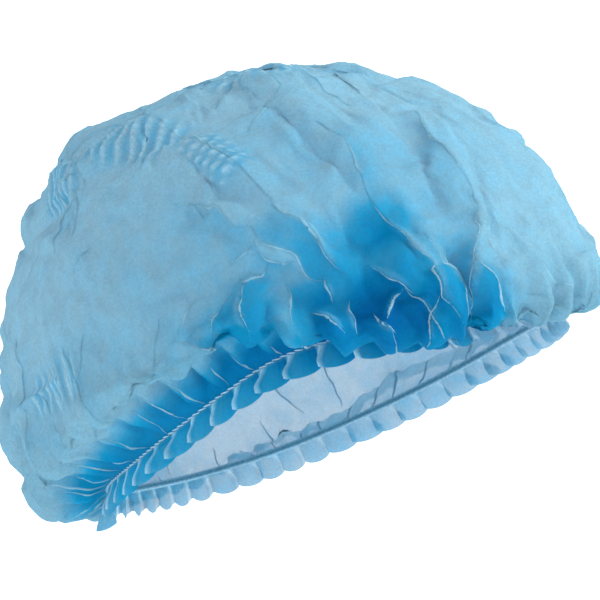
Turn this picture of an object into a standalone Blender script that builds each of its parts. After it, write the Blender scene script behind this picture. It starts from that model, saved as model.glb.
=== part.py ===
"""A disposable bouffant cap of thin blue spunbond cloth, in the form it has on a head.

The crown is a puffed dome of cloth, gathered at its edge onto a stitched elastic. Below the
elastic the cloth's free edge stands out as a short frill, and at the back the end of the folded
strip that the cap is made from is welded into a small flared tab.

Metres, +Z up as worn. The origin is the centre of the elastic, where the head goes in. The
wearer faces -Y, so the front is at -Y and the wearer's right side at -X.

Angles run round the opening: 0 at the front, 90 at the wearer's right, 180 at the back.
Levels run up the cloth: 0 at the elastic, 1 at the top of the crown.
"""

import math

import bpy
from mathutils import Vector

# Driving sizes of the cap
OPENING_TILT = math.radians(25.5)  # the front edge sits higher on the head than the back one
ELASTIC_HALF_LENGTH = 0.105
ELASTIC_HALF_WIDTH = 0.082
ELASTIC_ARCH = 0.0060  # how far the elastic rises and dips as it passes the ears and the brow
ELASTIC_WIDTH = 0.0030
ELASTIC_THICKNESS = 0.0010
CROWN_HALF_LENGTH = 0.134
CROWN_HALF_WIDTH = 0.118
CROWN_HEIGHT = 0.1450  # above the elastic, square to the opening
CROWN_LEAN = 0.0155  # how far the top of the crown lies behind the middle of the opening
POUCH_DROP = 0.0135  # how far the slack cloth hangs below the elastic at the front and back
CLOTH_WALL = 0.0012
SEAM_GAP = 0.0004
GATHERS = 52
GATHER_DEPTH = 0.0028  # from the middle line of a gather to its crest
GATHER_REACH = 0.0110  # how far from the elastic, along the cloth, the gathers are deepest
GATHER_FADE = 0.0600  # how far from the elastic they have died away
FOLD_HEIGHT = 0.0100
FOLD_WIDTH = 0.0200
CRIMP_LENGTH = 0.0240
CRIMP_SPACING = 0.0120
CRIMP_HEIGHT = 0.0016
FRILL_DEPTH = 0.0105
FRILL_FLARE = 0.0040
FRILL_WAVE = 0.0024
FRILL_SCALLOP = 0.0012  # how much shorter the frill is between two of its waves
TAB_ANGLE = math.radians(158)
TAB_LENGTH = 0.0120
TAB_TOP_WIDTH = 0.0040
TAB_FOOT_WIDTH = 0.0095
TAB_THICKNESS = 0.0016
TAB_START = 0.0020  # how far below the frill's upper edge the tab leaves the cloth
TAB_OUT = 0.0030  # how far outside the elastic's outline the middle of the tab's top lies
TAB_ROOM = 0.0034  # how far the frill is cut short on each side of the tab's middle

# Fineness of the faceted solids
CROWN_STEPS_PER_GATHER = 2
CROWN_ROWS = 18
ROW_CROWDING = 1.15  # above 1 the rows lie closer together near the elastic
FRILL_STEPS_PER_GATHER = 4
FRILL_ROWS = 3
ELASTIC_STEPS = 96
FOLD_PARTS = 6

# The cloth's path from the elastic to the top of the crown. flare goes from the elastic's
# outline (0) to the crown's widest one (1), close is what is left of that outline, rise is a
# share of CROWN_HEIGHT, hang a share of the local drop of the pouch, and arch a share of the
# elastic's own rise and dip.
CROWN_PATH = (
    # level, flare, close, rise, hang, arch
    (0.000, 0.00, 1.000, 0.000, 0.00, 1.00),
    (0.040, 0.32, 1.000, 0.000, 0.50, 0.90),
    (0.085, 0.68, 1.000, 0.000, 1.00, 0.60),
    (0.140, 0.95, 1.000, 0.015, 0.62, 0.25),
    (0.235, 1.02, 1.000, 0.130, 0.00, 0.00),
    (0.388, 1.00, 0.945, 0.400, 0.00, 0.00),
    (0.541, 1.00, 0.790, 0.645, 0.00, 0.00),
    (0.694, 1.00, 0.565, 0.836, 0.00, 0.00),
    (0.847, 1.00, 0.300, 0.958, 0.00, 0.00),
    (1.000, 1.00, 0.000, 1.000, 0.00, 0.00),
)

# How far the pouch hangs, as a share of POUCH_DROP. Below 0 the cloth goes up from the elastic.
POUCH_ROUND = (
    # angle, share
    (0, 0.95),
    (22, 1.00),
    (45, 0.90),
    (58, 0.45),
    (68, -0.75),
    (90, -1.10),
    (115, -0.60),
    (138, -0.40),
    (150, -0.05),
    (162, 0.25),
    (180, 0.15),
    (200, 0.00),
    (220, -0.40),
    (245, -0.70),
    (270, -0.90),
    (300, -0.70),
    (325, -0.20),
    (345, 0.60),
    (360, 0.95),
)

# How the elastic rises and dips round the head, as a share of ELASTIC_ARCH.
ELASTIC_ROUND = (
    # angle, share
    (0, -1.00),
    (28, -1.10),
    (46, -0.15),
    (60, 0.65),
    (72, 0.90),
    (84, 0.50),
    (100, -0.10),
    (121, -0.50),
    (148, -0.30),
    (180, 0.10),
    (205, 0.00),
    (230, -0.20),
    (260, -0.25),
    (300, -0.40),
    (325, -0.80),
    (360, -1.00),
)

# Long folds and dents of the crown: where each starts and ends, its height as a share of
# FOLD_HEIGHT, with dents below 0, and its half width as a share of FOLD_WIDTH.
CROWN_FOLDS = (
    # from angle, from level, to angle, to level, height, half width
    # The crumpled hollow over the wearer's right temple, and the ridges that run into it
    (62, 0.28, 47, 0.15, -0.95, 0.95),
    (48, 0.34, 41, 0.16, -0.65, 0.65),
    (65, 0.42, 54, 0.29, 0.45, 0.50),
    (61, 0.54, 50, 0.24, 0.55, 0.50),
    (66, 0.30, 70, 0.16, 0.55, 0.45),
    (43, 0.27, 40, 0.17, 0.55, 0.45),
    (37, 0.74, 36, 0.20, 0.45, 0.60),
    (36, 0.20, 36, 0.07, 0.50, 0.50),
    # The front, where the slack cloth hangs in lobes
    (15, 0.48, 26, 0.22, 0.50, 0.60),
    (27, 0.22, 29, 0.13, 0.50, 0.50),
    (31, 0.24, 31, 0.05, -0.65, 0.55),
    (21, 0.18, 18, 0.06, -0.40, 0.55),
    (12, 0.15, -4, 0.08, 0.45, 0.60),
    (0, 0.42, 6, 0.16, -0.35, 0.80),
    (-14, 0.30, -12, 0.05, -0.35, 0.60),
    # The wearer's right side and the back, drawn down to the elastic in soft ribs
    (74, 0.24, 77, 0.06, -0.40, 0.50),
    (80, 0.32, 86, 0.10, 0.35, 0.50),
    (89, 0.30, 93, 0.08, -0.35, 0.60),
    (100, 0.36, 104, 0.08, 0.35, 0.70),
    (116, 0.40, 112, 0.10, -0.30, 0.80),
    (126, 0.36, 124, 0.08, 0.30, 0.70),
    (140, 0.30, 136, 0.08, -0.30, 0.70),
    (152, 0.24, 153, 0.07, 0.30, 0.60),
    (166, 0.40, 170, 0.08, -0.40, 0.70),
    (182, 0.46, 180, 0.10, 0.40, 0.80),
    # The wearer's left side
    (200, 0.34, 196, 0.07, -0.45, 0.70),
    (216, 0.48, 212, 0.10, 0.40, 0.75),
    (228, 0.30, 231, 0.07, -0.40, 0.60),
    (243, 0.50, 246, 0.10, 0.40, 0.80),
    (262, 0.34, 259, 0.07, -0.45, 0.65),
    (277, 0.52, 274, 0.10, 0.40, 0.75),
    (290, 0.30, 293, 0.06, -0.45, 0.60),
    (306, 0.50, 310, 0.10, 0.45, 0.75),
    (324, 0.36, 322, 0.07, -0.45, 0.70),
    (338, 0.52, 336, 0.12, 0.40, 0.75),
    # The top
    (332, 0.78, 18, 0.60, 0.30, 0.70),
    (352, 0.88, 40, 0.86, -0.30, 0.80),
    (75, 0.62, 44, 0.60, -0.30, 0.90),
    (130, 0.70, 96, 0.56, -0.35, 0.90),
    (170, 0.80, 205, 0.60, 0.30, 0.80),
    (235, 0.80, 282, 0.66, 0.35, 0.80),
    (262, 0.90, 310, 0.74, -0.30, 0.70),
)

# Rows of short ribs that the strip's narrow folding leaves across the cloth.
CRIMP_ROWS = (
    # from angle, from level, to angle, to level
    (108, 0.82, 74, 0.69),
    (74, 0.69, 58, 0.50),
    (112, 0.66, 94, 0.62),
    (20, 0.84, 8, 0.70),
    (210, 0.76, 250, 0.62),
    (300, 0.60, 330, 0.44),
)

# The tab's outline, as shares of its length and of the way from its top width to its foot width.
TAB_OUTLINE = (
    # down, widening
    (0.00, 0.00),
    (0.30, 0.10),
    (0.60, 0.35),
    (0.85, 0.80),
    (1.00, 1.00),
)


def smooth(rows, at, column):
    """The value of a column at a place in a table, on a smooth curve through its rows."""
    last = len(rows) - 2
    i = max(0, min(last, sum(row[0] <= at for row in rows) - 1))
    before, start, end, after = (rows[max(0, min(last + 1, i + k))] for k in (-1, 0, 1, 2))
    span = end[0] - start[0]
    t = (at - start[0]) / span
    leaving = (end[column] - before[column]) / (end[0] - before[0]) * span
    arriving = (after[column] - start[column]) / (after[0] - start[0]) * span
    step = (3 * t * t - 2 * t**3) * (end[column] - start[column])
    return start[column] + step + (t**3 - 2 * t * t + t) * leaving + (t**3 - t * t) * arriving


def round_share(rows, angle):
    """A share from a table of angles, which goes on smoothly past its two ends."""
    before = (rows[-2][0] - 360, rows[-2][1])
    after = (rows[1][0] + 360, rows[1][1])
    return smooth((before, *rows, after), math.degrees(angle) % 360, 1)


def ease(share):
    """A share from 0 to 1 that starts and ends gently."""
    share = max(0.0, min(1.0, share))
    return share * share * (3 - 2 * share)


def around(half_length, half_width, angle, height):
    """A point on a level outline of the cap, in the elastic's own plane."""
    return Vector((-half_width * math.sin(angle), -half_length * math.cos(angle), height))


def seam_height(angle):
    """How far the elastic's middle line lies above its plane."""
    return ELASTIC_ARCH * round_share(ELASTIC_ROUND, angle)


def crown_middle(angle, level):
    """The crown's cloth before its folds and gathers."""
    flare, close, rise, hang, arch = (smooth(CROWN_PATH, level, column) for column in range(1, 6))
    half_length = ELASTIC_HALF_LENGTH + flare * (CROWN_HALF_LENGTH - ELASTIC_HALF_LENGTH)
    half_width = ELASTIC_HALF_WIDTH + flare * (CROWN_HALF_WIDTH - ELASTIC_HALF_WIDTH)
    drop = POUCH_DROP * round_share(POUCH_ROUND, angle)
    height = rise * CROWN_HEIGHT - hang * drop + arch * seam_height(angle)
    point = around(close * half_length, close * half_width, angle, height)
    point.y += rise * CROWN_LEAN
    return point


def crown_outward(angle, level):
    """The way out of the crown's cloth, square to it."""
    nudge = 0.004
    level = min(level, 1 - 2 * nudge)
    up = crown_middle(angle, level + nudge) - crown_middle(angle, max(0, level - nudge))
    on = crown_middle(angle + nudge, level) - crown_middle(angle - nudge, level)
    return up.cross(on).normalized()


def on_crown(degrees, level):
    """A point of the crown's cloth, from a table's angle and level."""
    return crown_middle(math.radians(degrees), level)


def fold_runs():
    """Each long fold as a run of points on the cloth, with its height and half width."""
    runs = []
    for from_angle, from_level, to_angle, to_level, height, half_width in CROWN_FOLDS:
        shares = [part / FOLD_PARTS for part in range(FOLD_PARTS + 1)]
        points = [
            on_crown(from_angle + s * (to_angle - from_angle), from_level + s * (to_level - from_level))
            for s in shares
        ]
        runs.append((points, height * FOLD_HEIGHT, half_width * FOLD_WIDTH))
    return runs


def crimp_runs():
    """Each short rib as a run of two points across its row."""
    runs = []
    for from_angle, from_level, to_angle, to_level in CRIMP_ROWS:
        start = on_crown(from_angle, from_level)
        row = on_crown(to_angle, to_level) - start
        count = max(2, round(row.length / CRIMP_SPACING))
        for rib in range(count):
            share = (rib + 0.5) / count
            angle = math.radians(from_angle + share * (to_angle - from_angle))
            level = from_level + share * (to_level - from_level)
            across = crown_outward(angle, level).cross(row).normalized() * CRIMP_LENGTH / 2
            middle = crown_middle(angle, level)
            runs.append(([middle - across, middle + across], CRIMP_HEIGHT, CRIMP_SPACING / 2))
    return runs


def relief(point, runs):
    """How far folds lift the cloth at a point. Each fold dies away at its ends and sides."""
    total = 0.0
    for points, height, half_width in runs:
        nearest = None
        for i in range(len(points) - 1):
            line = points[i + 1] - points[i]
            t = max(0.0, min(1.0, (point - points[i]).dot(line) / line.length_squared))
            distance = (point - points[i] - t * line).length
            if nearest is None or distance < nearest[0]:
                nearest = (distance, (i + t) / (len(points) - 1))
        distance, share = nearest
        if distance < half_width:
            side = (1 - (distance / half_width) ** 2) ** 2
            total += height * side * math.sqrt(math.sin(math.pi * min(0.98, max(0.02, share))))
    return total


def crown_column(angle, runs):
    """The outer side of the crown's cloth, from the elastic nearly to the top."""
    column = []
    from_elastic = 0.0
    before = crown_middle(angle, 0)
    for row in range(CROWN_ROWS):
        level = (row / CROWN_ROWS) ** ROW_CROWDING
        middle = crown_middle(angle, level)
        from_elastic += (middle - before).length
        before = middle
        growing = ease(from_elastic / GATHER_REACH)
        fading = 1 - ease((from_elastic - GATHER_REACH) / (GATHER_FADE - GATHER_REACH))
        gather = GATHER_DEPTH * growing * fading * math.cos(GATHERS * angle)
        lift = gather + growing * relief(middle, runs)
        column.append(middle + lift * crown_outward(angle, level))
    return column


def sheet(name, columns, wall_side, top=None):
    """A closed ring of cloth from columns of points, given its wall by Solidify."""
    rows = len(columns[0])
    verts = [point for column in columns for point in column]
    faces = []
    for c in range(len(columns)):
        this, following = c * rows, (c + 1) % len(columns) * rows
        for r in range(rows - 1):
            faces.append((this + r, this + r + 1, following + r + 1, following + r))
        if top is not None:
            faces.append((this + rows - 1, len(verts), following + rows - 1))
    if top is not None:
        verts.append(top)
    mesh = bpy.data.meshes.new(name)
    mesh.from_pydata(verts, [], faces)
    cloth = bpy.data.objects.new(name, mesh)
    bpy.context.collection.objects.link(cloth)
    wall = cloth.modifiers.new("wall", "SOLIDIFY")
    wall.thickness = CLOTH_WALL
    wall.offset = wall_side
    mesh.shade_smooth()
    return cloth


def make_crown():
    runs = fold_runs() + crimp_runs()
    count = GATHERS * CROWN_STEPS_PER_GATHER
    columns = [crown_column(2 * math.pi * c / count, runs) for c in range(count)]
    return sheet("crown", columns, -1, top=on_crown(0, 1))


def frill_point(angle, down):
    """A point of the frill's outer side, down from the elastic as a share of its depth."""
    from_tab = abs(angle - TAB_ANGLE) * ELASTIC_HALF_WIDTH
    wave = math.cos(GATHERS * angle) * ease(from_tab / TAB_FOOT_WIDTH - 0.5)
    full = FRILL_DEPTH - FRILL_SCALLOP * (1 - wave) / 2
    short = TAB_START - SEAM_GAP
    depth = short + ease(from_tab / TAB_ROOM - 1) * (full - short)
    out = down * FRILL_FLARE * depth / FRILL_DEPTH + down**1.5 * FRILL_WAVE * wave
    height = seam_height(angle) - SEAM_GAP - down * depth
    return around(ELASTIC_HALF_LENGTH + out, ELASTIC_HALF_WIDTH + out, angle, height)


def make_frill():
    count = GATHERS * FRILL_STEPS_PER_GATHER
    downs = [1 - row / FRILL_ROWS for row in range(FRILL_ROWS + 1)]
    angles = [2 * math.pi * c / count for c in range(count)]
    return sheet("frill", [[frill_point(angle, down) for down in downs] for angle in angles], -1)


def closed_rings(name, rings, loop):
    """A solid from rings of corners, joined end to end or capped at its two ends."""
    sides = len(rings[0])
    faces = []
    for i in range(len(rings) if loop else len(rings) - 1):
        this, following = i * sides, (i + 1) % len(rings) * sides
        for s in range(sides):
            on = (s + 1) % sides
            faces.append((this + s, this + on, following + on, following + s))
    if not loop:
        faces.append(tuple(reversed(range(sides))))
        faces.append(tuple((len(rings) - 1) * sides + s for s in range(sides)))
    mesh = bpy.data.meshes.new(name)
    mesh.from_pydata([corner for ring in rings for corner in ring], [], faces)
    solid = bpy.data.objects.new(name, mesh)
    bpy.context.collection.objects.link(solid)
    return solid


def make_elastic():
    """The elastic lies against the inner side of the seam."""
    outer = CLOTH_WALL + SEAM_GAP
    inner = outer + ELASTIC_THICKNESS
    half = ELASTIC_WIDTH / 2
    corners = ((outer, -half), (outer, half), (inner, half), (inner, -half))
    rings = []
    for step in range(ELASTIC_STEPS):
        angle = 2 * math.pi * step / ELASTIC_STEPS
        rings.append([
            around(
                ELASTIC_HALF_LENGTH - inset, ELASTIC_HALF_WIDTH - inset, angle, seam_height(angle) + up
            )
            for inset, up in corners
        ])
    return closed_rings("elastic", rings, loop=True)


def make_end_tab():
    """The tab hangs straight down where the frill is cut short, and flares towards its foot. It
    stands square to the opening's edge, so that its flat sides face along the edge."""
    along = around(ELASTIC_HALF_LENGTH, ELASTIC_HALF_WIDTH, TAB_ANGLE + math.pi / 2, 0).normalized()
    out = Vector((-along.y, along.x, 0))
    top = frill_point(TAB_ANGLE, 0) + out * TAB_OUT - Vector((0, 0, TAB_START))
    hang = Vector((0, math.sin(OPENING_TILT), -math.cos(OPENING_TILT))) * TAB_LENGTH
    to_side = along * TAB_THICKNESS / 2
    rings = []
    for down, widening in TAB_OUTLINE:
        to_edge = out * (TAB_TOP_WIDTH + widening * (TAB_FOOT_WIDTH - TAB_TOP_WIDTH)) / 2
        centre = top + hang * down
        rings.append([
            centre + to_edge + to_side,
            centre - to_edge + to_side,
            centre - to_edge - to_side,
            centre + to_edge - to_side,
        ])
    return closed_rings("end_tab", rings, loop=False)


def finish(name, colour, roughness):
    material = bpy.data.materials.new(name)
    material.use_nodes = True
    shader = material.node_tree.nodes["Principled BSDF"]
    shader.inputs["Base Color"].default_value = colour
    shader.inputs["Metallic"].default_value = 0.0
    shader.inputs["Roughness"].default_value = roughness
    return material


def main():
    for thing in list(bpy.data.objects):
        bpy.data.objects.remove(thing, do_unlink=True)
    opening = bpy.data.objects.new("opening", None)
    bpy.context.collection.objects.link(opening)
    opening.rotation_euler = (-OPENING_TILT, 0, 0)
    pieces = (
        (make_crown(), finish("crown_cloth", (0.26, 0.55, 0.76, 1), 0.75)),
        (make_frill(), finish("frill_cloth", (0.13, 0.42, 0.62, 1), 0.75)),
        (make_elastic(), finish("elastic_thread", (0.09, 0.25, 0.36, 1), 0.6)),
        (make_end_tab(), finish("welded_cloth", (0.10, 0.36, 0.55, 1), 0.55)),
    )
    for piece, material in pieces:
        piece.data.materials.append(material)
        piece.parent = opening


main()
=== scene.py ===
import math

import bpy
import numpy as np
from mathutils import Matrix, Vector, noise


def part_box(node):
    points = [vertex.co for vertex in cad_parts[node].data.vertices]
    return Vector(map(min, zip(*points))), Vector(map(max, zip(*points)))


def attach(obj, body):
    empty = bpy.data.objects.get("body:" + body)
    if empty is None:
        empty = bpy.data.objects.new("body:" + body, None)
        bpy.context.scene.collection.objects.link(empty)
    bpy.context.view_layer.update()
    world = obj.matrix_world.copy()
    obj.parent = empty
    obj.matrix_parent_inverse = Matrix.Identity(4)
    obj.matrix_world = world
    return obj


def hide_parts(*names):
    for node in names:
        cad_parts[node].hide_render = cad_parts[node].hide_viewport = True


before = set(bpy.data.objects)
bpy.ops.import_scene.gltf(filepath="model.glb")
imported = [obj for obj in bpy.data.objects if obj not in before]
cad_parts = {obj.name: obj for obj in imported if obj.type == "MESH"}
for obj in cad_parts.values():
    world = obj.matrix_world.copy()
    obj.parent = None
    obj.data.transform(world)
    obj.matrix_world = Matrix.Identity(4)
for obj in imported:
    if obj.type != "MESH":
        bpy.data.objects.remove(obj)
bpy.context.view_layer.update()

# The view. The cap is seen from the wearer's right and a little from the front, almost level,
# through a long lens, so that the opening shows from below its raised front edge.
VIEW_AZIMUTH = math.radians(-58)
VIEW_ELEVATION = math.radians(1)
VIEW_DISTANCE = 0.9
LENS = 128.6
SENSOR = 36.0
PICTURE = 600  # pixels, each way
ORIGIN_PIXEL = (322, 396)  # where the middle of the opening lies in the picture

back = Vector((
    math.sin(VIEW_AZIMUTH) * math.cos(VIEW_ELEVATION),
    -math.cos(VIEW_AZIMUTH) * math.cos(VIEW_ELEVATION),
    math.sin(VIEW_ELEVATION),
))
right = Vector((math.cos(VIEW_AZIMUTH), math.sin(VIEW_AZIMUTH), 0))
up = back.cross(right)
pixel = VIEW_DISTANCE * SENSOR / LENS / PICTURE
aim = right * (PICTURE / 2 - ORIGIN_PIXEL[0]) * pixel + up * (ORIGIN_PIXEL[1] - PICTURE / 2) * pixel

camera = bpy.data.objects.new("camera", bpy.data.cameras.new("camera"))
camera.data.lens = LENS
camera.data.sensor_width = SENSOR
camera.location = aim + back * VIEW_DISTANCE
camera.rotation_mode = "QUATERNION"
camera.rotation_quaternion = (-back).to_track_quat("-Z", "Y")
bpy.context.collection.objects.link(camera)
bpy.context.scene.camera = camera


# The crown: one sheet of thin spunbond polypropylene, puffed into a dome. It is gathered at its
# edge onto the elastic, hangs below it in a pouch at the front, and keeps the creases of the
# narrow strip that it was folded into.
OPENING_TILT = math.radians(25.5)  # the front of the opening is higher than its back
SEAM_INSET = 0.0016  # from the seam in to the elastic's outer face
ELASTIC_HALF_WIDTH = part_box("elastic")[1][0] + SEAM_INSET
ELASTIC_HALF_LENGTH = 0.105
ELASTIC_ARCH = 0.0060  # how far the elastic rises and dips from its plane
CROWN_HALF_LENGTH = 0.1295
CROWN_HALF_WIDTH = 0.1165
CROWN_HEIGHT = 0.1450
CROWN_LEAN = 0.0155  # how far back the top lies
POUCH_DROP = 0.0135
GATHERS = 52
GATHER_DEPTH = 0.0028
GATHER_REACH = 0.0110  # the gathers are deepest this far from the elastic
GATHER_FADE = 0.0600  # and have run out this far from it
FAR_SIDE_EVENNESS = 0.6  # the far side is drawn in more evenly, with shallower gathers
FOLD_HEIGHT = 0.0100  # the long folds' heights and half widths are shares of these two
FOLD_WIDTH = 0.0200
CLOTH_STEPS = 6  # across each gather, in the sheet that is simulated
CLOTH_ROWS = 66
ROW_CROWDING = 1.35  # above 1, so that the rows lie closer together near the elastic
TOP_LEVEL = 0.985  # the sheet is closed above this with a fan of triangles

# In all tables, angles run in degrees from the middle of the front over the wearer's right (90)
# to the nape (180) and on, and levels from the elastic (0) to the top (1). In the crown's path,
# flare goes from the elastic's oval to the widest one, close shrinks that towards the top, and
# rise, hang and arch are shares of the crown's height, the pouch's drop and the elastic's arch.
CROWN_PATH = (
    # level, flare, close, rise, hang, arch
    (0.000, 0.00, 1.000, 0.000, 0.00, 1.00),
    (0.040, 0.32, 1.000, 0.000, 0.50, 0.90),
    (0.085, 0.68, 1.000, 0.000, 1.00, 0.60),
    (0.140, 0.94, 1.000, 0.015, 0.62, 0.25),
    (0.235, 1.02, 1.000, 0.130, 0.00, 0.00),
    (0.388, 1.00, 0.953, 0.400, 0.00, 0.00),
    (0.541, 1.00, 0.808, 0.650, 0.00, 0.00),
    (0.694, 1.00, 0.605, 0.838, 0.00, 0.00),
    (0.847, 1.00, 0.350, 0.945, 0.00, 0.00),
    (1.000, 1.00, 0.000, 0.975, 0.00, 0.00),
)
POUCH_ROUND = (
    # angle, share of POUCH_DROP
    (0, 0.95), (22, 1.00), (45, 0.90), (58, 0.45), (68, -0.75), (90, -1.10), (115, -0.60),
    (138, -0.40), (150, -0.05), (162, 0.25), (180, 0.15), (200, 0.00), (220, -0.40),
    (245, -0.70), (270, -0.90), (300, -0.70), (325, -0.20), (345, 0.60), (360, 0.95),
)
ELASTIC_ROUND = (
    # angle, share of ELASTIC_ARCH
    (0, -1.00), (28, -1.10), (46, -0.15), (60, 0.65), (72, 0.90), (84, 0.50), (100, -0.10),
    (121, -0.50), (148, -0.30), (180, 0.10), (205, 0.00), (230, -0.20), (260, -0.25),
    (300, -0.40), (325, -0.80), (360, -1.00),
)
SOFT_FOLDS = (
    # from angle, from level, to angle, to level, shares of FOLD_HEIGHT and of FOLD_WIDTH
    (62, 0.28, 47, 0.15, -0.95, 0.95),
    (48, 0.34, 41, 0.16, -0.65, 0.65),
    (65, 0.42, 54, 0.29, 0.45, 0.50),
    (61, 0.54, 50, 0.24, 0.55, 0.50),
    (66, 0.30, 70, 0.16, 0.55, 0.45),
    (43, 0.27, 40, 0.17, 0.55, 0.45),
    (37, 0.74, 36, 0.20, 0.45, 0.60),
    (36, 0.20, 36, 0.07, 0.50, 0.50),
    (15, 0.48, 26, 0.22, 0.50, 0.60),
    (27, 0.22, 29, 0.13, 0.50, 0.50),
    (31, 0.24, 31, 0.05, -0.65, 0.55),
    (21, 0.18, 18, 0.06, -0.40, 0.55),
    (12, 0.13, -4, 0.07, -0.25, 0.80),
    (-2, 0.60, -8, 0.18, 0.55, 1.50),
    (-22, 0.26, -20, 0.05, -0.30, 0.60),
    (74, 0.24, 77, 0.06, -0.40, 0.50),
    (80, 0.32, 86, 0.10, 0.35, 0.50),
    (89, 0.30, 93, 0.08, -0.35, 0.60),
    (100, 0.36, 104, 0.08, 0.35, 0.70),
    (116, 0.40, 112, 0.10, -0.30, 0.80),
    (126, 0.36, 124, 0.08, 0.30, 0.70),
    (140, 0.30, 136, 0.08, -0.30, 0.70),
    (152, 0.24, 153, 0.10, 0.50, 0.80),
    (166, 0.34, 170, 0.08, -0.20, 0.70),
    (120, 0.70, 128, 0.30, -0.60, 3.00),
    (112, 0.92, 116, 0.74, 0.50, 2.40),
    (146, 0.36, 149, 0.22, 0.60, 0.80),
    (182, 0.46, 180, 0.10, 0.40, 0.80),
    (200, 0.34, 196, 0.07, -0.45, 0.70),
    (216, 0.48, 212, 0.10, 0.40, 0.75),
    (228, 0.30, 231, 0.07, -0.40, 0.60),
    (243, 0.50, 246, 0.10, 0.40, 0.80),
    (262, 0.34, 259, 0.07, -0.45, 0.65),
    (277, 0.52, 274, 0.10, 0.40, 0.75),
    (290, 0.30, 293, 0.06, -0.45, 0.60),
    (306, 0.50, 310, 0.10, 0.45, 0.75),
    (324, 0.36, 322, 0.07, -0.45, 0.70),
    (338, 0.52, 336, 0.12, 0.20, 0.75),
    (140, 0.78, 140, 0.95, 0.60, 1.80),
    (332, 0.78, 18, 0.60, 0.30, 0.70),
    (352, 0.88, 40, 0.86, -0.30, 0.80),
    (75, 0.62, 44, 0.60, -0.30, 0.90),
    (130, 0.70, 96, 0.56, -0.35, 0.90),
    (170, 0.80, 205, 0.60, 0.30, 0.80),
    (235, 0.80, 282, 0.66, 0.35, 0.80),
    (262, 0.90, 310, 0.74, -0.30, 0.70),
)
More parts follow.
